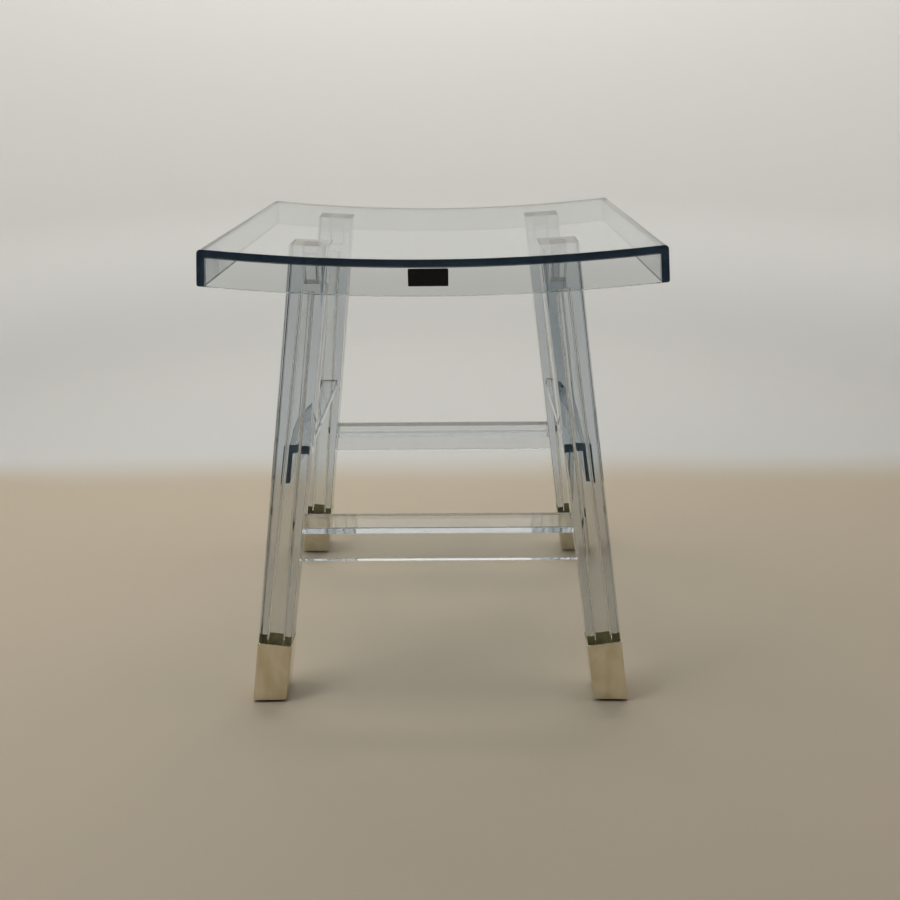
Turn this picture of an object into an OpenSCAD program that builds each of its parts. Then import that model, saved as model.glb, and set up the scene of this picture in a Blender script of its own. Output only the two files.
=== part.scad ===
// Clear acrylic vanity stool with a dipped seat, four splayed tapered hollow legs and metal end caps.
// X runs across the seat, -Y is the front, Z is up; the origin is on the floor under the middle.

/* [Seat] */
// Width of the top sheet, straight across between its raised ends
seat_w = 450; // [400:5:520]
// Depth of the seat, front to back
seat_d = 390; // [340:5:440]
// Height of the raised ends above the floor
seat_h = 520; // [440:5:600]
// How far the middle of the top sheet dips below its ends
seat_dip = 12; // [6:1:20]
// Thickness of the seat's sheets
sheet_t = 8; // [6:0.5:12]
// Height of the skirts and aprons, with the top sheet
skirt_h = 36; // [26:1:50]
// Rounding of the top sheet's outer ends
end_r = 4.5; // [2:0.5:5.5]
// Rounding of the skirts' lower outer edge
skirt_r = 2; // [0.5:0.5:4]

/* [Legs] */
// Side of the square leg at its top
leg_top_side = 41; // [38:0.5:44]
// Side of the square leg at the floor
leg_foot_side = 36.5; // [33:0.5:38]
// Side of the square bore up the leg
leg_bore = 16; // [10:0.5:20]
// Flat cut along the leg's long edges, taken off each face
leg_edge = 2; // [0.5:0.1:3]
// Seat end to the leg's centre line, under the seat
leg_inset_x = 96; // [80:1:110]
// Seat front or back to the leg's centre line, under the seat
leg_inset_y = 90; // [75:1:105]
// Lean of the legs to the sides, in degrees
lean_x = 7.8; // [5:0.1:10]
// Lean of the legs to the front and back, in degrees
lean_y = 8.8; // [5:0.1:10]

/* [Posts and sockets in the leg tops] */
// Side of the square post that hangs from the seat into the leg's socket
post_side = 16.2; // [10:0.1:20]
// Length of the post below the top sheet
post_len = 12; // [6:1:28]
// Gap round the post in its socket
post_gap = 0.3; // [0.1:0.1:0.6]
// Depth of the upright socket below the top sheet, deeper than its post
socket_len = 34; // [30:1:42]
// Solid acrylic left between the socket and the bore
web_t = 5; // [3:0.5:10]

/* [Rails] */
// Thickness of the rails' plates
rail_t = 9.5; // [6:0.5:12]
// Top of the front and back rails above the floor
cross_rail_z = 208.5; // [150:0.5:250]
// Width of the front and back rails' top plates
cross_rail_w = 37.5; // [24:0.5:40]
// Height of the front and back rails
cross_rail_h = 41; // [26:1:60]
// How far their upright outer faces lie behind the legs' outer faces, at their tops
cross_rail_inset = 0.5; // [0.5:0.5:6]
// Top of the left and right rails above the floor
side_rail_z = 290; // [240:1:350]
// Width of the left and right rails' top plates
side_rail_w = 28; // [20:0.5:31]
// Height of the left and right rails
side_rail_h = 44; // [26:1:60]
// How far their outer faces, which lean like the legs, lie behind the legs' outer faces
side_rail_inset = 7.5; // [0.5:0.5:9]

/* [Metal caps and glides] */
// Length of a metal cap along the leg, from the floor
cap_len = 70; // [50:1:100]
// Wall of the metal cap
cap_wall = 1; // [0.8:0.1:2]
// Floor of the metal cap
cap_floor = 2; // [1:0.5:4]
// Gap between the leg and its cap
cap_gap = 0.1; // [0.1:0.05:0.3]
// Side of the square glide under the cap
glide_side = 29; // [22:1:32]
// Thickness of the glide
glide_t = 3; // [2:0.5:5]
// Corner rounding of the glide
glide_r = 4; // [1:0.5:6]

/* [Hidden] */

// Colours
acrylic = [0.78, 0.84, 0.86, 0.45];
cut_acrylic = [0.62, 0.70, 0.74, 0.55];
metal = [0.72, 0.66, 0.52];
rubber = [0.12, 0.12, 0.12];

// Facets of the long arcs and of the small roundings
arc_fn = 720;
small_fn = 32;
// Length by which a cutting body runs past what it cuts
past = 40;

// The top sheet's arc: its radius, half its angle and its centre above the seat
arc_r = (seat_w * seat_w / 4 + seat_dip * seat_dip) / (2 * seat_dip);
arc_a = asin(seat_w / 2 / arc_r);
arc_z = seat_h - seat_dip + arc_r;
under_r = arc_r + sheet_t;
hem_r = arc_r + skirt_h;

// Top end of a leg's centre line, on the underside of the top sheet
leg_x = seat_w / 2 - leg_inset_x;
leg_y = seat_d / 2 - leg_inset_y;
leg_z = arc_z - sqrt(under_r * under_r - leg_x * leg_x);
lean_len = sqrt(1 + pow(tan(lean_x), 2) + pow(tan(lean_y), 2));
turn_x = asin(tan(lean_y) / lean_len);
turn_y = -lean_x;
leg_len = leg_z * lean_len;
// Slope of the top sheet over a leg
sheet_turn = asin(leg_x / under_r);

// Socket for the post, and how far up the leg its bore ends
socket_side = post_side + 2 * post_gap;
bore_top = (socket_len + web_t + leg_bore * (tan(lean_x) + tan(lean_y)) / 2) * lean_len;

// Height of the leg's foot, inside its cap
foot_z = glide_t + cap_floor;

// Side of the leg at a place counted up its centre line from its top
function leg_side(place) = leg_top_side + (leg_top_side - leg_foot_side) * place / leg_len;

// Side, centre line and outer faces of a leg at height z
function leg_side_at(z) = leg_side((z - leg_z) * lean_len);
function leg_x_at(z) = leg_x + (leg_z - z) * tan(lean_x);
function leg_y_at(z) = leg_y + (leg_z - z) * tan(lean_y);
function leg_outer_x(z) = leg_x_at(z) + leg_side_at(z) / 2 / cos(turn_y);
function leg_outer_y(z) = leg_y_at(z) + leg_side_at(z) / 2 / cos(turn_x);

// Outer faces of the rails, at their tops
cross_rail_y = leg_outer_y(cross_rail_z) - cross_rail_inset;
side_rail_x = leg_outer_x(side_rail_z) - side_rail_inset;

// Square with rounded corners, centred
module round_square(side, r) {
    square([side - 2 * r, side], center = true);
    square([side, side - 2 * r], center = true);
    for (sx = [-1, 1], sy = [-1, 1])
        translate([sx * (side / 2 - r), sy * (side / 2 - r)])
            circle(r, $fn = small_fn);
}

// Stands a profile drawn in X and Z up, and extrudes it along Y from y_low to y_high
module along_y(y_low, y_high) {
    translate([0, y_high, 0])
        rotate([90, 0, 0])
            linear_extrude(y_high - y_low)
                children();
}

// Ring round the centre of the seat's arc
module arc_ring(r_in, r_out) {
    translate([0, arc_z])
        difference() {
            circle(r_out, $fn = arc_fn);
            circle(r_in, $fn = arc_fn);
        }
}

// Turns a profile about the arc's centre from the middle to the seat's end: +1 right, -1 left
module at_end(side) {
    translate([0, arc_z])
        rotate(side * arc_a)
            children();
}

// Everything between the seat's two ends, inset along the sheet by the given length
module between_ends(inset) {
    intersection() {
        at_end(1)
            translate([-2 * seat_w - inset, -hem_r - past])
                square([2 * seat_w, seat_w]);
        at_end(-1)
            translate([inset, -hem_r - past])
                square([2 * seat_w, seat_w]);
    }
}

// What rounds off the upper outer corner of the top sheet, drawn at its end
module end_rounding() {
    centre_z = -sqrt(pow(arc_r + end_r, 2) - end_r * end_r);
    difference() {
        polygon([
            [-end_r, centre_z],
            [-end_r * (arc_r - past) / (arc_r + end_r), centre_z * (arc_r - past) / (arc_r + end_r)],
            [past, centre_z * (arc_r - past) / (arc_r + end_r)],
            [past, centre_z]
        ]);
        translate([-end_r, centre_z])
            circle(end_r, $fn = small_fn);
    }
}

// Space under the top sheet, from a height up
module under_seat(z_low) {
    along_y(-seat_d, seat_d)
        difference() {
            translate([-seat_w, z_low])
                square([2 * seat_w, leg_z - z_low + past]);
            translate([0, arc_z])
                circle(under_r, $fn = arc_fn);
        }
}

// Puts a piece that is drawn for the back right corner at a corner: sx, sy are -1 or +1
module at_corner(sx, sy) {
    mirror([sx < 0 ? 1 : 0, 0, 0])
        mirror([0, sy < 0 ? 1 : 0, 0])
            children();
}

// Frame of the back right leg: its origin is the top of the centre line, Z runs up the leg
module leg_frame() {
    translate([leg_x, leg_y, leg_z])
        rotate([turn_x, turn_y, 0])
            children();
}

// Slab along a leg's centre line, turned about it: it tapers between its widths at two places
module taper_slab(turn, low, low_width, high, high_width) {
    rotate([90, 0, turn])
        linear_extrude(4 * leg_top_side, center = true)
            polygon([
                [-low_width / 2, low],
                [low_width / 2, low],
                [high_width / 2, high],
                [-high_width / 2, high]
            ]);
}

// Tapered bar with cut long edges, the back right leg's own or grown on all sides, between two
// places counted from the leg's top
module leg_bar(grown, low, high) {
    low_side = leg_side(low);
    high_side = leg_side(high);
    leg_frame()
        intersection() {
            taper_slab(0, low, low_side + 2 * grown, high, high_side + 2 * grown);
            taper_slab(90, low, low_side + 2 * grown, high, high_side + 2 * grown);
            edge_slab(45, grown, low, high);
            edge_slab(-45, grown, low, high);
        }
}

// Slab that cuts two of the long edges of that bar
module edge_slab(turn, grown, low, high) {
    low_width = sqrt(2) * (leg_side(low) - leg_edge) + 2 * grown;
    high_width = sqrt(2) * (leg_side(high) - leg_edge) + 2 * grown;
    taper_slab(turn, low, low_width, high, high_width);
}

// Everything beyond one of the back right leg's two inner faces: turn 0 for the one that looks
// to the left and takes the cross rail's end, 90 for the one that looks to the front
module past_inner_face(turn) {
    low = -leg_len - past;
    leg_frame()
        rotate([90, 0, turn])
            linear_extrude(4 * leg_top_side, center = true)
                polygon([
                    [-leg_side(low) / 2, low],
                    [seat_w, low],
                    [seat_w, past],
                    [-leg_side(past) / 2, past]
                ]);
}

// Curved top sheet with rounded ends
module seat_top() {
    color(acrylic)
        along_y(-seat_d / 2, seat_d / 2)
            difference() {
                intersection() {
                    arc_ring(arc_r, under_r);
                    between_ends(0);
                }
                at_end(1) end_rounding();
                at_end(-1) mirror([1, 0]) end_rounding();
            }
}

// Plate under the end of the top sheet, square to it: side is +1 right, -1 left
module skirt(side) {
    color(cut_acrylic)
        along_y(-seat_d / 2, seat_d / 2)
            difference() {
                at_end(side)
                    translate([side > 0 ? -sheet_t : 0, -hem_r])
                        square([sheet_t, skirt_h]);
                translate([0, arc_z])
                    circle(under_r, $fn = arc_fn);
                at_end(side)
                    mirror([side < 0 ? 1 : 0, 0])
                        difference() {
                            translate([-skirt_r, -hem_r - past])
                                square([skirt_r + past, skirt_r + past]);
                            translate([-skirt_r, -hem_r + skirt_r])
                                circle(skirt_r, $fn = small_fn);
                        }
            }
}

// Curved plate between the skirts, flush with the seat's front (-1) or back (+1)
module apron(side) {
    y_low = side > 0 ? seat_d / 2 - sheet_t : -seat_d / 2;
    color(acrylic)
        along_y(y_low, y_low + sheet_t)
            intersection() {
                arc_ring(under_r, hem_r);
                between_ends(sheet_t);
            }
}

// Splayed leg: curved top under the seat, upright socket, web, bore, level foot
module leg(sx, sy) {
    color(acrylic)
        at_corner(sx, sy)
            difference() {
                intersection() {
                    leg_bar(0, -leg_len - past, past);
                    under_seat(foot_z);
                }
                translate([leg_x - socket_side / 2, leg_y - socket_side / 2, leg_z - socket_len])
                    cube([socket_side, socket_side, socket_len + past]);
                leg_frame()
                    translate([-leg_bore / 2, -leg_bore / 2, -leg_len - past])
                        cube([leg_bore, leg_bore, leg_len + past - bore_top]);
            }
}

// Upright post that holds the leg's top; its own top lies flat along the sheet
module post(sx, sy) {
    color(cut_acrylic)
        at_corner(sx, sy)
            translate([leg_x, leg_y, leg_z])
                intersection() {
                    translate([-post_side / 2, -post_side / 2, -post_len])
                        cube([post_side, post_side, post_len + past]);
                    rotate([0, -sheet_turn, 0])
                        translate([-past, -past, -past])
                            cube([2 * past, 2 * past, past]);
                }
}

// Runs a rail's profile, drawn across and up, between the back (+1) or the front (-1) legs,
// with its ends cut to the legs' faces
module cross_bar(side) {
    at_corner(1, side)
        difference() {
            rotate([90, 0, 90])
                linear_extrude(2 * leg_x_at(0), center = true)
                    children();
            for (end = [-1, 1])
                at_corner(end, 1)
                    past_inner_face(0);
        }
}

// The same between the right (+1) or the left (-1) legs
module side_bar(side) {
    at_corner(side, 1)
        difference() {
            along_y(-leg_y_at(0), leg_y_at(0))
                children();
            for (end = [-1, 1])
                at_corner(1, end)
                    past_inner_face(90);
        }
}

// Profile of a rail's level top plate, whose outer edge leans like the plate below it
module top_profile(outer, z_top, width, lean) {
    polygon([
        [outer, z_top],
        [outer + rail_t * tan(lean), z_top - rail_t],
        [outer - width, z_top - rail_t],
        [outer - width, z_top]
    ]);
}

// Profile of a rail's face plate, under the outer edge of its top plate
module face_profile(outer, z_top, height, lean) {
    upper = outer + rail_t * tan(lean);
    lower = outer + height * tan(lean);
    across = rail_t / cos(lean);
    polygon([
        [upper, z_top - rail_t],
        [lower, z_top - height],
        [lower - across, z_top - height],
        [upper - across, z_top - rail_t]
    ]);
}

// Front (-1) and back (+1) rails: a top plate, and an upright face plate under its outer edge
module cross_rail_top(side) {
    color(acrylic)
        cross_bar(side)
            top_profile(cross_rail_y, cross_rail_z, cross_rail_w, 0);
}

module cross_rail_face(side) {
    color(cut_acrylic)
        cross_bar(side)
            face_profile(cross_rail_y, cross_rail_z, cross_rail_h, 0);
}

// Left (-1) and right (+1) rails: built alike, with a face plate that leans like the legs
module side_rail_top(side) {
    color(acrylic)
        side_bar(side)
            top_profile(side_rail_x, side_rail_z, side_rail_w, lean_x);
}

module side_rail_face(side) {
    color(cut_acrylic)
        side_bar(side)
            face_profile(side_rail_x, side_rail_z, side_rail_h, lean_x);
}

// Space above a height
module above(z_low) {
    translate([-seat_w, -seat_d, z_low])
        cube([2 * seat_w, 2 * seat_d, seat_h]);
}

// Metal cap: rim square to the leg, closed level floor
module cap(sx, sy) {
    color(metal)
        at_corner(sx, sy)
            difference() {
                intersection() {
                    leg_bar(cap_gap + cap_wall, -leg_len - past, cap_len - leg_len);
                    above(glide_t);
                }
                intersection() {
                    leg_bar(cap_gap, -leg_len - past, cap_len - leg_len + past);
                    above(foot_z);
                }
            }
}

// Pad under the cap, on the floor
module glide(sx, sy) {
    color(rubber)
        at_corner(sx, sy)
            translate([leg_x_at(glide_t), leg_y_at(glide_t), 0])
                linear_extrude(glide_t)
                    round_square(glide_side, glide_r);
}

seat_top();
skirt(-1);  // left_skirt
skirt(1);  // right_skirt
apron(-1);  // front_apron
apron(1);  // back_apron
leg(-1, -1);  // leg_front_left
leg(1, -1);  // leg_front_right
leg(-1, 1);  // leg_back_left
leg(1, 1);  // leg_back_right
post(-1, -1);  // post_front_left
post(1, -1);  // post_front_right
post(-1, 1);  // post_back_left
post(1, 1);  // post_back_right
cross_rail_top(-1);  // front_rail_top
cross_rail_face(-1);  // front_rail_face
cross_rail_top(1);  // back_rail_top
cross_rail_face(1);  // back_rail_face
side_rail_top(-1);  // left_rail_top
side_rail_face(-1);  // left_rail_face
side_rail_top(1);  // right_rail_top
side_rail_face(1);  // right_rail_face
cap(-1, -1);  // cap_front_left
cap(1, -1);  // cap_front_right
cap(-1, 1);  // cap_back_left
cap(1, 1);  // cap_back_right
glide(-1, -1);  // glide_front_left
glide(1, -1);  // glide_front_right
glide(-1, 1);  // glide_back_left
glide(1, 1);  // glide_back_right
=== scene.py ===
"""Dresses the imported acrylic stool: clear sheets, hollow legs, rails, metal caps, glides and a bare tag."""
import math

import bmesh
import bpy
from mathutils import Euler, Matrix, Vector


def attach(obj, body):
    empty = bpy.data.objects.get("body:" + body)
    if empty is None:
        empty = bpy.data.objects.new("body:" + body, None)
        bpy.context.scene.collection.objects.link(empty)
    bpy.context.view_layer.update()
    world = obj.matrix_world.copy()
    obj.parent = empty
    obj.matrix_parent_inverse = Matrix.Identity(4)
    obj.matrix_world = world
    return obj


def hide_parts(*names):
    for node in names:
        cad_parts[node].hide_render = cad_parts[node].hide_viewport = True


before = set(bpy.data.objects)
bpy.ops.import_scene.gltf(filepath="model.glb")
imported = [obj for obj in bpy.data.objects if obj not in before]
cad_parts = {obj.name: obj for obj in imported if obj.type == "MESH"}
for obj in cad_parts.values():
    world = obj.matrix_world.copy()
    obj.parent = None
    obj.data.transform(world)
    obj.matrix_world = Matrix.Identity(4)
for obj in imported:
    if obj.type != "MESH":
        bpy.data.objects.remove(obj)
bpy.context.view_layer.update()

# Sizes of the stool in metres, as in the CAD part
SEAT_W = 0.450
SEAT_D = 0.390
SEAT_H = 0.520
SEAT_DIP = 0.012
SHEET_T = 0.008
SKIRT_H = 0.036
END_R = 0.0045
SKIRT_R = 0.002
LEG_TOP = 0.041
LEG_FOOT = 0.0365
LEG_BORE = 0.016
LEG_X = 0.129
LEG_Y = 0.105
LEAN_X = math.radians(7.8)
LEAN_Y = math.radians(8.8)
POST_SIDE = 0.0162
POST_LEN = 0.012
POST_GAP = 0.0003
SOCKET_LEN = 0.034
WEB_T = 0.005
RAIL_T = 0.0095
CROSS_W = 0.0375
CROSS_H = 0.041
CROSS_Z = 0.2085
CROSS_INSET = 0.0005
SIDE_W = 0.028
SIDE_H = 0.044
SIDE_Z = 0.290
SIDE_INSET = 0.0075
CAP_LEN = 0.070
CAP_WALL = 0.001
CAP_FLOOR = 0.002
CAP_GAP = 0.0001
GLIDE_SIDE = 0.029
GLIDE_T = 0.003
GLIDE_R = 0.004

# Only in this model: the bore's width at the foot, and the roundings of bore, leg, socket and post
BORE_FOOT = 0.021
BORE_R = 0.0065
BORE_FOOT_R = 0.003
LEG_R = 0.0022
SOCKET_R = 0.0008
POST_R = 0.0005

# The tag: its middle, width, height, corners and thickness
TAG_X = -0.004
TAG_Z = 0.4909
TAG_W = 0.039
TAG_H = 0.0171
TAG_R = 0.0012
TAG_T = 0.0003

# Widths of the eased edges
SHELL_EASE = 0.0007
APRON_EASE = 0.0002
LEG_EASE = 0.0004
POST_EASE = 0.0003
CAP_EASE = 0.00045
GLIDE_EASE = 0.0006
RAIL_EASE = 0.0005
TAG_EASE = 0.00008

# Air left between pieces that only touch, so that no two faces lie in one place
AIR = 0.00004
TAG_AIR = 0.00003
# Depth by which cemented pieces run into each other, so that light passes the joint without a break
GRIP = 0.00004

# Straight steps in half the seat's arc, in the roundings of its end and hem, and in one corner of the rest
ARC_STEPS = 44
END_STEPS = 7
HEM_STEPS = 5
LEG_STEPS = 8
GLIDE_STEPS = 6
TAG_STEPS = 4

# Worked out from the sizes: the seat's arc, and the place and turn of the back right leg
ARC_R = (SEAT_W ** 2 / 4 + SEAT_DIP ** 2) / (2 * SEAT_DIP)
ARC_A = math.asin(SEAT_W / 2 / ARC_R)
ARC_Z = SEAT_H - SEAT_DIP + ARC_R
UNDER_R = ARC_R + SHEET_T
HEM_R = ARC_R + SKIRT_H
LEG_Z = ARC_Z - math.sqrt(UNDER_R ** 2 - LEG_X ** 2)
LEAN_LEN = math.sqrt(1 + math.tan(LEAN_X) ** 2 + math.tan(LEAN_Y) ** 2)
LEG_LEN = LEG_Z * LEAN_LEN
FOOT_Z = GLIDE_T + CAP_FLOOR
TILT_Y = math.asin(math.tan(LEAN_Y) / LEAN_LEN)
TURN = Euler((TILT_Y, -LEAN_X, 0)).to_matrix()
LEG_TOP_POINT = Vector((LEG_X, LEG_Y, LEG_Z))
# Depth of the bore's top along the leg: WEB_T of solid acrylic stays between it and the socket
BORE_DEPTH = (SOCKET_LEN + WEB_T + LEG_BORE * (math.tan(LEAN_X) + math.tan(LEAN_Y)) / 2) * LEAN_LEN
CORNERS = {
    "front_left": (-1, -1),
    "front_right": (1, -1),
    "back_left": (-1, 1),
    "back_right": (1, 1),
}


# Mesh building
def make_object(name, shape, material, ease=0.0, ease_parts=2, smooth=35):
    """A closed mesh object from verts and faces, smooth within an angle, with its sharp edges eased."""
    verts, faces = shape
    mesh = bpy.data.meshes.new(name)
    mesh.from_pydata([tuple(v) for v in verts], [], faces)
    work = bmesh.new()
    work.from_mesh(mesh)
    bmesh.ops.recalc_face_normals(work, faces=work.faces)
    work.to_mesh(mesh)
    work.free()
    mesh.shade_smooth()
    mesh.set_sharp_from_angle(angle=math.radians(smooth))
    made = bpy.data.objects.new(name, mesh)
    bpy.context.scene.collection.objects.link(made)
    mesh.materials.append(material)
    if ease:
        edge = made.modifiers.new("eased_edges", "BEVEL")
        edge.width = ease
        edge.segments = ease_parts
        edge.limit_method = "ANGLE"
        edge.angle_limit = math.radians(smooth)
        edge.harden_normals = True
        edge.use_clamp_overlap = True
    return made


def joined(rings):
    """Verts and faces of rings of the same number of points, joined in order and closed at both ends."""
    count = len(rings[0])
    last = len(rings) - 1
    faces = []
    for k in range(last):
        for i in range(count):
            j = (i + 1) % count
            faces.append((k * count + i, k * count + j, (k + 1) * count + j, (k + 1) * count + i))
    faces.append(tuple(range(count))[::-1])
    faces.append(tuple(range(last * count, (last + 1) * count)))
    return [point for ring in rings for point in ring], faces


def extruded(outline, y_low, y_high):
    """Verts and faces of an outline in X and Z, run along Y."""
    return joined([[Vector((x, y, z)) for x, z in outline] for y in (y_low, y_high)])


def square_ring(side, r, steps):
    """Points of a rounded square about the origin, counter-clockwise, steps + 1 to a corner."""
    points = []
    for k in range(4):
        mid = math.radians(45 + 90 * k)
        cx = math.copysign(side / 2 - r, math.cos(mid))
        cy = math.copysign(side / 2 - r, math.sin(mid))
        for i in range(steps + 1):
            a = math.radians(90 * k + 90 * i / steps)
            points.append((cx + r * math.cos(a), cy + r * math.sin(a)))
    return points


def mirrored(rings, side_x, side_y):
    """Rings of the back right corner, moved to another corner by signs of X and Y."""
    return [[Vector((p.x * side_x, p.y * side_y, p.z)) for p in ring] for ring in rings]


def leg_point(u, v, w):
    """A point of the back right leg, given across it and up its centre line from its top."""
    return LEG_TOP_POINT + TURN @ Vector((u, v, w))


def leg_lines(extra, r):
    """The long lines of the leg's rounded square, made extra wider: pairs of a low and a high point."""
    low = square_ring(LEG_FOOT + extra, r, LEG_STEPS)
    high = square_ring(LEG_TOP + extra, r, LEG_STEPS)
    return [(leg_point(*a, -LEG_LEN), leg_point(*b, 0)) for a, b in zip(low, high)]


def at_height(low, high, z):
    """Where the line through two points passes a height."""
    return low + (high - low) * ((z - low.z) / (high.z - low.z))


def at_share(low, high, share):
    """The point at a share of the way from low to high."""
    return low + (high - low) * share


def at_arc(low, high, radius):
    """Where the line through two points meets a cylinder about the seat's arc centre, near the high one."""
    way = high - low
    x, z = low.x, low.z - ARC_Z
    square = way.x ** 2 + way.z ** 2
    single = 2 * (x * way.x + z * way.z)
    rest = x ** 2 + z ** 2 - radius ** 2
    root = math.sqrt(single ** 2 - 4 * square * rest)
    shares = ((-single - root) / (2 * square), (-single + root) / (2 * square))
    return low + way * min(shares, key=lambda share: abs(share - 1))


# Procedural materials
class Look:
    """A node material in the making, around one Principled shader."""

    def __init__(self, name):
        self.material = bpy.data.materials.new(name)
        self.material.use_nodes = True
        tree = self.material.node_tree
        tree.nodes.clear()
        self.add = tree.nodes.new
        self.link = tree.links.new
        self.output = self.add("ShaderNodeOutputMaterial")
        self.body = self.add("ShaderNodeBsdfPrincipled")
        self.link(self.body.outputs[0], self.output.inputs["Surface"])

    def feed(self, socket, value):
        """Links another node's output to a socket, or sets the socket to a number or a colour."""
        if isinstance(value, tuple):
            socket.default_value = (*value, 1)
        elif isinstance(value, (int, float)):
            socket.default_value = value
        else:
            self.link(value, socket)

    def set(self, **values):
        """Feeds the shader's sockets, named with _ for a space."""
        for name, value in values.items():
            self.feed(self.body.inputs[name.replace("_", " ")], value)

    def position(self, scale=(1, 1, 1)):
        """Object coordinates in metres, times a scale along each axis."""
        place = self.add("ShaderNodeTexCoord")
        fit = self.add("ShaderNodeMapping")
        fit.inputs["Scale"].default_value = scale
        self.link(place.outputs["Object"], fit.inputs["Vector"])
        return fit.outputs["Vector"]

    def noise(self, scale, detail, rough, warp=0.0):
        """Noise with about scale patches to a metre along each axis."""
        made = self.add("ShaderNodeTexNoise")
        made.inputs["Scale"].default_value = 1.0
        made.inputs["Detail"].default_value = detail
        made.inputs["Roughness"].default_value = rough
        made.inputs["Distortion"].default_value = warp
        self.link(self.position(scale), made.inputs["Vector"])
        return made.outputs["Fac"]

    def spread(self, value, low, high, at_low=0, at_high=1):
        """Maps a value's range onto another, smoothly and held at its ends."""
        made = self.add("ShaderNodeMapRange")
        made.clamp = True
        made.interpolation_type = "SMOOTHSTEP"
        made.inputs["From Min"].default_value = low
        made.inputs["From Max"].default_value = high
        made.inputs["To Min"].default_value = at_low
        made.inputs["To Max"].default_value = at_high
        self.link(value, made.inputs["Value"])
        return made.outputs["Result"]

    def blend(self, factor, first, second):
        """Blends two colours, each a constant or an output of another node."""
        made = self.add("ShaderNodeMix")
        made.data_type = "RGBA"
        self.link(factor, made.inputs[0])
        self.feed(made.inputs[6], first)
        self.feed(made.inputs[7], second)
        return made.outputs[2]

    def sums(self, first, second, kind="ADD"):
        """Adds two values, or joins them by another sum."""
        made = self.add("ShaderNodeMath")
        made.operation = kind
        self.feed(made.inputs[0], first)
        self.feed(made.inputs[1], second)
        return made.outputs["Value"]

    def bump(self, height, strength, distance, before=None):
        """Tilts the surface by a height, on top of another bump where one is given."""
        made = self.add("ShaderNodeBump")
        made.inputs["Strength"].default_value = strength
        made.inputs["Distance"].default_value = distance
        self.link(height, made.inputs["Height"])
        if before is not None:
            self.link(before, made.inputs["Normal"])
        return made.outputs["Normal"]


# Acrylic
ACRYLIC_IOR = 1.49
SEAT_TINT = (0.885, 0.895, 0.892)
LEG_TINT = (0.955, 0.965, 0.962)
# The inside takes light away along its path, red most and blue least
ACRYLIC_ABSORB = (0.0, 0.14, 0.26)
ACRYLIC_DENSITY = 10.0
# What each surface lets through of shadow rays and diffuse rays
ACRYLIC_PASS = (0.90, 0.92, 0.93)
# Tint of the cloudier patches against that of the rest
TINT_CLOUD = 0.98


def let_light_through(look):
    """Makes a look nearly clear to shadow rays and diffuse rays."""
    passing = look.add("ShaderNodeBsdfTransparent")
    look.feed(passing.inputs["Color"], ACRYLIC_PASS)
    path = look.add("ShaderNodeLightPath")
    mix = look.add("ShaderNodeMixShader")
    soft = look.sums(path.outputs["Is Shadow Ray"], path.outputs["Is Diffuse Ray"], "MAXIMUM")
    look.link(soft, mix.inputs[0])
    look.link(look.body.outputs[0], mix.inputs[1])
    look.link(passing.outputs[0], mix.inputs[2])
    look.link(mix.outputs[0], look.output.inputs["Surface"])


def clear_acrylic(name, tint, wave_scale, wave_height):
    """Polished clear acrylic: long ways inside it go dark blue, and light passes on to the floor."""
    look = Look(name)
    cloud = look.noise((9, 9, 9), detail=4.0, rough=0.55, warp=0.4)
    smudge = look.noise((38, 38, 22), detail=5.0, rough=0.6, warp=0.8)
    wave = look.noise(wave_scale, detail=1.5, rough=0.4)
    clouded = tuple(part * TINT_CLOUD for part in tint)
    look.set(
        Transmission_Weight=1.0,
        IOR=ACRYLIC_IOR,
        Base_Color=look.blend(look.spread(cloud, 0.3, 0.7), tint, clouded),
        Roughness=look.spread(smudge, 0.55, 0.8, 0.0, 0.035),
        Normal=look.bump(wave, 1.0, wave_height),
    )
    let_light_through(look)
    inside = look.add("ShaderNodeVolumeAbsorption")
    look.feed(inside.inputs["Color"], ACRYLIC_ABSORB)
    look.feed(inside.inputs["Density"], ACRYLIC_DENSITY)
    look.link(inside.outputs[0], look.output.inputs["Volume"])
    return look.material


# Colours of the metals, the rubber and the tag, each with its second tone
NICKEL = (0.66, 0.58, 0.41)
NICKEL_LIGHT = (0.82, 0.76, 0.60)
BRASS = (0.84, 0.70, 0.30)
BRASS_TARNISH = (0.52, 0.42, 0.16)
RUBBER = (0.018, 0.018, 0.018)
RUBBER_DUST = (0.075, 0.07, 0.062)
VINYL = (0.010, 0.010, 0.012)
VINYL_RUB = (0.035, 0.035, 0.038)


def polished_metal(name):
    """Warm nickel plate, polished, with soft streaks along the cap and a few dull spots."""
    look = Look(name)
    streak = look.noise((60, 60, 6), detail=2.0, rough=0.4, warp=0.3)
    cloud = look.noise((45, 45, 30), detail=3.0, rough=0.5, warp=0.5)
    tone = look.sums(look.sums(streak, 0.5, "MULTIPLY"), look.sums(cloud, 0.5, "MULTIPLY"))
    streak_dull = look.spread(streak, 0.35, 0.7, 0.04, 0.10)
    cloud_dull = look.spread(cloud, 0.55, 0.8, 0.0, 0.10)
    look.set(
        Metallic=1.0,
        Base_Color=look.blend(look.spread(tone, 0.35, 0.65), NICKEL, NICKEL_LIGHT),
        Roughness=look.sums(streak_dull, cloud_dull),
        Normal=look.bump(streak, 0.25, 0.00006, look.bump(cloud, 0.5, 0.0002)),
    )
    return look.material


def dull_brass(name):
    """Raw brass inside a cap: satin, with darker tarnish patches."""
    look = Look(name)
    tarnish = look.noise((70, 70, 70), detail=4.0, rough=0.6, warp=0.5)
    look.set(
        Metallic=0.4,
        Base_Color=look.blend(look.spread(tarnish, 0.35, 0.65), BRASS, BRASS_TARNISH),
        Roughness=look.spread(tarnish, 0.3, 0.7, 0.38, 0.55),
        Normal=look.bump(tarnish, 0.4, 0.0001),
    )
    return look.material


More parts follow.
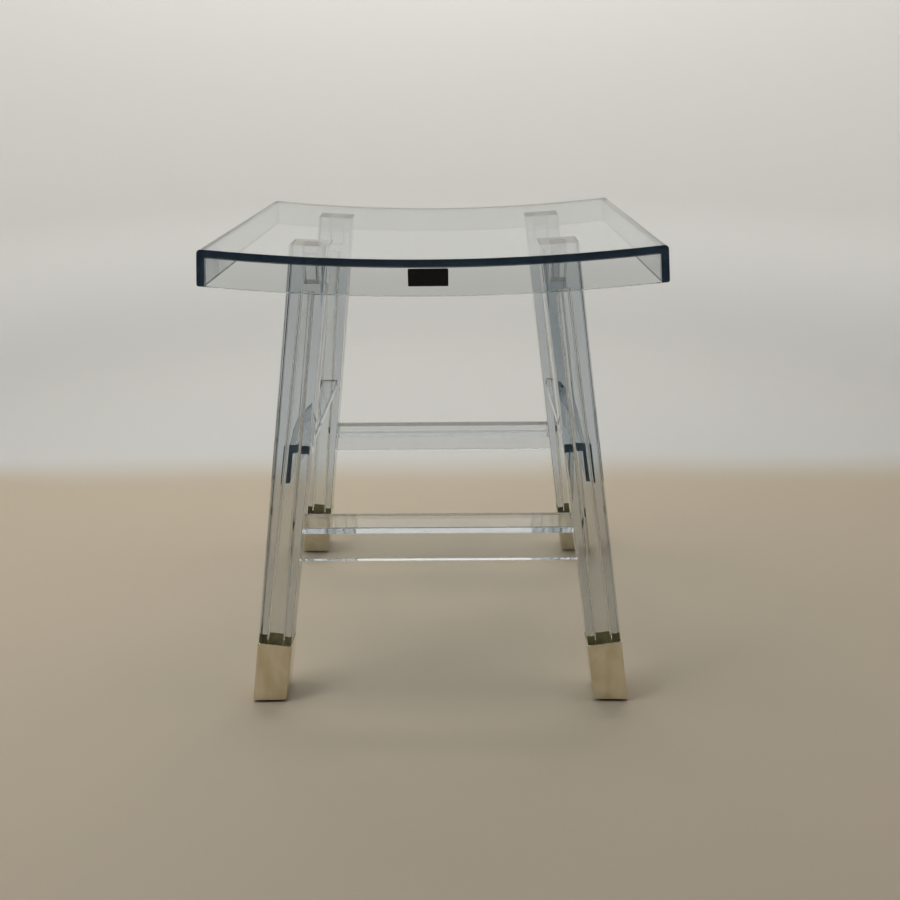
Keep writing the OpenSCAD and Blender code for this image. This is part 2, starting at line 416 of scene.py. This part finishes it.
def black_rubber(name):
    """Matt black rubber with fine grain and a little dust."""
    look = Look(name)
    grain = look.noise((900, 900, 900), detail=4.0, rough=0.6)
    dust = look.noise((90, 90, 90), detail=4.0, rough=0.6)
    look.set(
        Base_Color=look.blend(look.spread(dust, 0.4, 0.75), RUBBER, RUBBER_DUST),
        Roughness=look.spread(grain, 0.3, 0.7, 0.62, 0.85),
        Normal=look.bump(grain, 0.6, 0.0002),
    )
    return look.material


def black_vinyl(name):
    """Bare black label stock: satin, with fine grain and faint rub marks."""
    look = Look(name)
    grain = look.noise((1500, 1500, 1500), detail=3.0, rough=0.6)
    rub = look.noise((260, 260, 900), detail=4.0, rough=0.65, warp=0.6)
    look.set(
        Base_Color=look.blend(look.spread(rub, 0.5, 0.8), VINYL, VINYL_RUB),
        Roughness=look.spread(rub, 0.35, 0.75, 0.28, 0.50),
        Normal=look.bump(grain, 0.3, 0.00005),
    )
    return look.material


# Tones of the stage: the floor's own tone, painted shade on the wall in front, and painted shade low on the
# back wall going up into painted light
FLOOR_TONE = (0.45, 0.385, 0.295)
FRONT_WALL_PAINTED_SHADE = (0.10, 0.10, 0.10)
BACK_WALL_PAINTED_SHADE_LOW = (0.52, 0.515, 0.495)
BACK_WALL_PAINTED_LIGHT_HIGH = (0.82, 0.815, 0.79)
# Where one tone goes over into the next: along Y on the floor, round the wall where the painted shade in
# front gives way, and upwards where the back wall's painted shade turns into painted light
FLOOR_END_Y = (0.43, 0.59)
WALL_SHADE_TURN_Y = (-0.9, 0.9)
WALL_FOOT_Z = (0.01, 0.12)
BACK_WALL_SHADE_TO_LIGHT_Z = (0.0, 0.35)


def stage_paint(name):
    """Matt paint: a warm floor, and a wall with painted shade, dark in front going slowly to light behind,
    and darker low on the back wall than high up.
    """
    look = Look(name)
    parts = look.add("ShaderNodeSeparateXYZ")
    look.link(look.position(), parts.inputs[0])
    cloud = look.noise((3, 3, 3), detail=5.0, rough=0.6, warp=0.4)
    reach = look.sums(parts.outputs["Y"], look.sums(cloud, 0.05, "MULTIPLY"))
    height = parts.outputs["Z"]
    # Painted shade low on the back wall, going up into painted light; the floor beyond takes the low, shaded
    # tone
    back = look.blend(look.spread(height, *BACK_WALL_SHADE_TO_LIGHT_Z), BACK_WALL_PAINTED_SHADE_LOW, BACK_WALL_PAINTED_LIGHT_HIGH)
    floor = look.blend(look.spread(reach, *FLOOR_END_Y), FLOOR_TONE, back)
    # Painted shade: the wall goes dark towards the front
    wall = look.blend(look.spread(reach, *WALL_SHADE_TURN_Y), FRONT_WALL_PAINTED_SHADE, back)
    look.set(
        Base_Color=look.blend(look.spread(height, *WALL_FOOT_Z), floor, wall),
        Roughness=0.7,
        Specular_IOR_Level=0.25,
    )
    return look.material


seat_clear = clear_acrylic("seat_acrylic", SEAT_TINT, wave_scale=(6, 6, 6), wave_height=0.00005)
leg_clear = clear_acrylic("leg_acrylic", LEG_TINT, wave_scale=(30, 30, 4), wave_height=0.00006)
rail_clear = clear_acrylic("rail_acrylic", LEG_TINT, wave_scale=(12, 12, 40), wave_height=0.00006)
nickel = polished_metal("cap_metal")
brass = dull_brass("cap_inside")
rubber = black_rubber("glide_rubber")
vinyl = black_vinyl("tag_vinyl")


# The seat
def on_arc(a, radius):
    """X and Z of a point of the seat's arc, at an angle from its middle."""
    return radius * math.sin(a), ARC_Z - radius * math.cos(a)


def at_end(x, z):
    """X and Z of a point given in the right end's own frame, which lies square to the arc."""
    return x * math.cos(ARC_A) - z * math.sin(ARC_A), ARC_Z + x * math.sin(ARC_A) + z * math.cos(ARC_A)


def right_outline():
    """Half of the bent sheet's outline, from the middle of its top round the right end and back below."""
    tilt = math.asin(END_R / (ARC_R + END_R))
    end_z = -math.sqrt((ARC_R + END_R) ** 2 - END_R ** 2)
    points = [on_arc((ARC_A - tilt) * i / ARC_STEPS, ARC_R) for i in range(ARC_STEPS + 1)]
    for i in range(1, END_STEPS + 1):
        a = (math.pi / 2 + tilt) * (1 - i / END_STEPS)
        points.append(at_end(END_R * (math.cos(a) - 1), end_z + END_R * math.sin(a)))
    for i in range(HEM_STEPS + 1):
        a = -math.pi / 2 * i / HEM_STEPS
        points.append(at_end(SKIRT_R * (math.cos(a) - 1), SKIRT_R * (math.sin(a) + 1) - HEM_R))
    points.append(at_end(-SHEET_T, -HEM_R))
    inner = ARC_A - math.asin(SHEET_T / UNDER_R)
    points += [on_arc(inner * (1 - i / ARC_STEPS), UNDER_R) for i in range(ARC_STEPS + 1)]
    return points


def make_shell():
    """The bent top sheet with its two skirts."""
    right = right_outline()
    left = [(-x, z) for x, z in right[1:-1]][::-1]
    shape = extruded(right + left, -SEAT_D / 2, SEAT_D / 2)
    return make_object("seat_shell", shape, seat_clear, SHELL_EASE, ease_parts=3)


def make_apron(name, side):
    """A curved plate under the sheet's front or back edge, between the skirts."""
    inner = ARC_A - math.asin((SHEET_T - GRIP) / UNDER_R)
    outer = ARC_A - math.asin((SHEET_T - GRIP) / HEM_R)
    steps = range(2 * ARC_STEPS + 1)
    outline = [on_arc(inner * (i / ARC_STEPS - 1), UNDER_R - GRIP) for i in steps]
    outline += [on_arc(outer * (1 - i / ARC_STEPS), HEM_R) for i in steps]
    y_low, y_high = sorted((side * SEAT_D / 2, side * (SEAT_D / 2 - SHEET_T)))
    return make_object(name, extruded(outline, y_low, y_high), seat_clear, APRON_EASE)


# The legs, their posts, caps and glides
def under_seat_z(x):
    """Height of the cemented tops of legs and posts, a hair inside the sheet."""
    return ARC_Z - math.sqrt((UNDER_R - GRIP) ** 2 - x ** 2)


def upright_rings(side, r, length):
    """Two rings of an upright square bar at the leg's top: its low end, and its end under the seat."""
    ring = square_ring(side, r, LEG_STEPS)
    low = [Vector((LEG_X + u, LEG_Y + v, LEG_Z - length)) for u, v in ring]
    high = [Vector((LEG_X + u, LEG_Y + v, under_seat_z(LEG_X + u))) for u, v in ring]
    return low, high


def bore_rings():
    """Two rings of the bore, which widens downwards: at the leg's foot and at the bore's top."""
    high = [leg_point(u, v, -BORE_DEPTH) for u, v in square_ring(LEG_BORE, BORE_R, LEG_STEPS)]
    low = [leg_point(u, v, -LEG_LEN) for u, v in square_ring(BORE_FOOT, BORE_FOOT_R, LEG_STEPS)]
    return [at_height(a, b, FOOT_Z + AIR) for a, b in zip(low, high)], high


def make_leg(name, side_x, side_y):
    """A clear leg as one skin that runs from the socket over the outside and into the bore."""
    lines = leg_lines(0, LEG_R)
    top = [at_arc(low, high, UNDER_R - GRIP) for low, high in lines]
    foot = [at_height(low, high, FOOT_Z + AIR) for low, high in lines]
    socket = upright_rings(POST_SIDE + 2 * POST_GAP, SOCKET_R, SOCKET_LEN)
    rings = mirrored([*socket, top, foot, *bore_rings()], side_x, side_y)
    return make_object(name, joined(rings), leg_clear, LEG_EASE)


def make_post(name, side_x, side_y):
    """The short upright post in a leg's socket."""
    rings = mirrored(upright_rings(POST_SIDE, POST_R, POST_LEN), side_x, side_y)
    return make_object(name, joined(rings), leg_clear, POST_EASE)


def make_cap(name, side_x, side_y):
    """A metal cap as one skin, inner floor, inner rim, outer rim and underside, with a raw brass inside."""
    inner = leg_lines(2 * CAP_GAP, LEG_R + CAP_GAP)
    grown = CAP_GAP + CAP_WALL
    outer = leg_lines(2 * grown, LEG_R + grown)
    share = CAP_LEN / LEG_LEN
    rings = [
        [at_height(low, high, FOOT_Z) for low, high in inner],
        [at_share(low, high, share) for low, high in inner],
        [at_share(low, high, share) for low, high in outer],
        [at_height(low, high, GLIDE_T) for low, high in outer],
    ]
    cap = make_object(name, joined(mirrored(rings, side_x, side_y)), nickel, CAP_EASE, ease_parts=3)
    cap.data.materials.append(brass)
    inner_points = 2 * len(inner)
    for face in cap.data.polygons:
        if max(face.vertices) < inner_points:
            face.material_index = 1
    return cap


def make_glide(name, side_x, side_y):
    """The rubber pad under a cap."""
    x = LEG_X + (LEG_Z - GLIDE_T) * math.tan(LEAN_X)
    y = LEG_Y + (LEG_Z - GLIDE_T) * math.tan(LEAN_Y)
    ring = square_ring(GLIDE_SIDE, GLIDE_R, GLIDE_STEPS)
    rings = [[Vector((x + u, y + v, z)) for u, v in ring] for z in (0, GLIDE_T - AIR)]
    return make_object(name, joined(mirrored(rings, side_x, side_y)), rubber, GLIDE_EASE)


# The rails
def leg_half_at(z):
    """Half the leg's side at a height."""
    return LEG_TOP / 2 + (LEG_FOOT - LEG_TOP) / 2 * (LEG_Z - z) / LEG_Z


def leg_outer(z, centre, lean, tilt):
    """Where the leg's outer face stands at a height, along X or Y."""
    return centre + (LEG_Z - z) * math.tan(lean) + leg_half_at(z) / math.cos(tilt)


CROSS_Y = leg_outer(CROSS_Z, LEG_Y, LEAN_Y, TILT_Y) - CROSS_INSET
SIDE_X = leg_outer(SIDE_Z, LEG_X, LEAN_X, LEAN_X) - SIDE_INSET


def inner_face(axis):
    """A point and the normal of the back right leg's face that looks along -X (axis 0) or -Y (axis 1)."""
    low = [0, 0, -LEG_LEN]
    high = [0, 0, 0]
    low[axis] = -LEG_FOOT / 2
    high[axis] = -LEG_TOP / 2
    along = [0, 0, 0]
    along[1 - axis] = 1
    point = leg_point(*low)
    return point, (leg_point(*high) - point).cross(TURN @ Vector(along)).normalized()


def rail_end(axis, across, z):
    """How far a rail's line runs along its axis, until it is a hair inside the leg's inner face."""
    point, normal = inner_face(axis)
    start = Vector((0, across, z)) if axis == 0 else Vector((across, 0, z))
    way = Vector((1, 0, 0)) if axis == 0 else Vector((0, 1, 0))
    return (point - start).dot(normal) / way.dot(normal) + GRIP


def rail_section(outer, width, z_top, height, lean):
    """The rail's upside-down L, as points across it and up; its face plate leans out downwards."""
    slope = math.tan(lean)
    return [
        (outer + height * slope, z_top - height),
        (outer, z_top),
        (outer - width, z_top),
        (outer - width, z_top - RAIL_T),
        (outer - RAIL_T + RAIL_T * slope, z_top - RAIL_T),
        (outer - RAIL_T + height * slope, z_top - height),
    ]


def make_rail(name, axis, side, section):
    """A rail from leg to leg, along X (axis 0) or Y (axis 1), on one side of the stool."""
    rings = []
    for sign in (-1, 1):
        ring = []
        for across, z in section:
            reach = sign * rail_end(axis, across, z)
            ring.append(Vector((reach, side * across, z) if axis == 0 else (side * across, reach, z)))
        rings.append(ring)
    return make_object(name, joined(rings), rail_clear, RAIL_EASE)


# The bare tag on the front apron
def make_tag():
    """A thin plate with rounded corners and nothing on it."""
    outline = []
    for k in range(4):
        x = TAG_X + (TAG_W / 2 - TAG_R) * (1 if k in (0, 3) else -1)
        z = TAG_Z + (TAG_H / 2 - TAG_R) * (1 if k in (0, 1) else -1)
        for i in range(TAG_STEPS + 1):
            a = math.radians(90 * (k + i / TAG_STEPS))
            outline.append((x + TAG_R * math.cos(a), z + TAG_R * math.sin(a)))
    y = -SEAT_D / 2
    return make_object("blank_tag", extruded(outline, y - TAG_T, y - TAG_AIR), vinyl, TAG_EASE)


# Puts the pieces in place of the CAD nodes
def place(piece, slot, *nodes):
    """Fixes a piece to the stool and hides the nodes that it stands for; the slot is not used."""
    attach(piece, "root")
    if nodes:
        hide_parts(*nodes)


place(make_shell(), "seat_acrylic", "seat_top", "left_skirt", "right_skirt")
place(make_apron("front_apron_sheet", -1), "seat_acrylic", "front_apron")
place(make_apron("back_apron_sheet", 1), "seat_acrylic", "back_apron")
for corner, (side_x, side_y) in CORNERS.items():
    place(make_leg("clear_leg_" + corner, side_x, side_y), "leg_acrylic", "leg_" + corner)
    place(make_post("clear_post_" + corner, side_x, side_y), "leg_acrylic", "post_" + corner)
    place(make_cap("metal_cap_" + corner, side_x, side_y), "cap_metal", "cap_" + corner)
    place(make_glide("rubber_glide_" + corner, side_x, side_y), "glide_rubber", "glide_" + corner)
cross_section = rail_section(CROSS_Y, CROSS_W, CROSS_Z, CROSS_H, 0)
side_section = rail_section(SIDE_X, SIDE_W, SIDE_Z, SIDE_H, LEAN_X)
for word, axis, side, section in (
    ("front", 0, -1, cross_section),
    ("back", 0, 1, cross_section),
    ("left", 1, -1, side_section),
    ("right", 1, 1, side_section),
):
    rail = make_rail("clear_rail_" + word, axis, side, section)
    place(rail, "rail_acrylic", word + "_rail_top", word + "_rail_face")
place(make_tag(), "glide_rubber")


# Floor and backdrop
FLOOR_R = 1.35
BEND_R = 0.35
BEND_STEPS = 12
WALL_TOP = 2.4
STAGE_PARTS = 96
FLOOR_DROP = 0.0001
STAGE_SMOOTH = 60


def make_stage():
    """A round floor that curves up all round into a wall."""
    profile = [(FLOOR_R / 2, 0.0), (FLOOR_R, 0.0)]
    for i in range(1, BEND_STEPS + 1):
        a = math.radians(90 * i / BEND_STEPS)
        profile.append((FLOOR_R + BEND_R * math.sin(a), BEND_R * (1 - math.cos(a))))
    profile.append((FLOOR_R + BEND_R, WALL_TOP))
    verts = [Vector((0, 0, -FLOOR_DROP))]
    for radius, z in profile:
        for i in range(STAGE_PARTS):
            a = 2 * math.pi * i / STAGE_PARTS
            verts.append(Vector((radius * math.cos(a), radius * math.sin(a), z - FLOOR_DROP)))
    faces = [(0, 1 + i, 1 + (i + 1) % STAGE_PARTS) for i in range(STAGE_PARTS)]
    for k in range(len(profile) - 1):
        low = 1 + k * STAGE_PARTS
        high = low + STAGE_PARTS
        for i in range(STAGE_PARTS):
            j = (i + 1) % STAGE_PARTS
            faces.append((low + i, high + i, high + j, low + j))
    paint = stage_paint("floor_paint")
    make_object("studio_floor", (verts, faces), paint, smooth=STAGE_SMOOTH)


make_stage()


# Light
def area_light(name, at, aim, size, watts, colour):
    """A rectangular soft light that looks at a point."""
    data = bpy.data.lights.new(name, "AREA")
    data.shape = "RECTANGLE"
    data.size, data.size_y = size
    data.energy = watts
    data.color = colour
    lamp = bpy.data.objects.new(name, data)
    lamp.location = at
    lamp.rotation_euler = (Vector(aim) - Vector(at)).to_track_quat("-Z", "Y").to_euler()
    bpy.context.scene.collection.objects.link(lamp)
    return lamp


WARM = (1.0, 0.985, 0.96)
COOL = (0.96, 0.98, 1.0)
NEUTRAL = (1.0, 0.99, 0.975)
AIR_COLOUR = (0.86, 0.88, 0.90, 1)
AIR_STRENGTH = 0.12

# Two lights stand beside the stool's middle, so that the seat seen from straight above doesn't mirror them
for word, x, watts in (("left", -0.95, 13), ("right", 0.95, 8)):
    at = (x, 0.1, 2.3)
    area_light("overhead_" + word, at, aim=(0, 0.1, 0.2), size=(0.6, 0.9), watts=watts, colour=WARM)
area_light("left_soft", (-1.25, -0.5, 1.6), aim=(0, 0, 0.3), size=(0.5, 0.8), watts=7, colour=COOL)
wash = area_light("wall_wash", (0, 1.05, 2.2), aim=(0, 1.7, 0.6), size=(1.6, 0.3), watts=20, colour=NEUTRAL)
# The wall's light isn't mirrored in the stool
wash.visible_glossy = False
wash.visible_transmission = False
world = bpy.data.worlds.new("studio_air")
world.use_nodes = True
sky = world.node_tree.nodes["Background"]
sky.inputs["Color"].default_value = AIR_COLOUR
sky.inputs["Strength"].default_value = AIR_STRENGTH
bpy.context.scene.world = world

# Camera, at the photograph's viewing angle
CAMERA_AT = Vector((0.02775, -1.0619, 0.6620))
YAW = math.radians(-0.837)
PITCH = math.radians(22.006)
ROLL = math.radians(-0.693)
FOCAL_PIXELS = 902.2
PHOTO_PIXELS = 900
SENSOR_W = 36


def make_camera():
    """The camera, turned by its yaw, its pitch downwards and its roll."""
    ahead = Vector((math.sin(YAW) * math.cos(PITCH), math.cos(YAW) * math.cos(PITCH), -math.sin(PITCH)))
    level = Vector((math.cos(YAW), -math.sin(YAW), 0))
    over = level.cross(ahead)
    right = level * math.cos(ROLL) + over * math.sin(ROLL)
    above = over * math.cos(ROLL) - level * math.sin(ROLL)
    data = bpy.data.cameras.new("photo_view")
    data.sensor_width = SENSOR_W
    data.lens = FOCAL_PIXELS * SENSOR_W / PHOTO_PIXELS
    camera = bpy.data.objects.new("photo_view", data)
    turn = Matrix((right, above, -ahead)).transposed().to_4x4()
    camera.matrix_world = Matrix.Translation(CAMERA_AT) @ turn
    bpy.context.scene.collection.objects.link(camera)
    bpy.context.scene.camera = camera


make_camera()

# Light paths long enough for clear pieces seen through each other
cycles = bpy.context.scene.cycles
cycles.max_bounces = 40
cycles.transmission_bounces = 40
cycles.glossy_bounces = 16
cycles.diffuse_bounces = 4
cycles.transparent_max_bounces = 40
cycles.sample_clamp_indirect = 8
bpy.context.scene.view_settings.view_transform = "Standard"
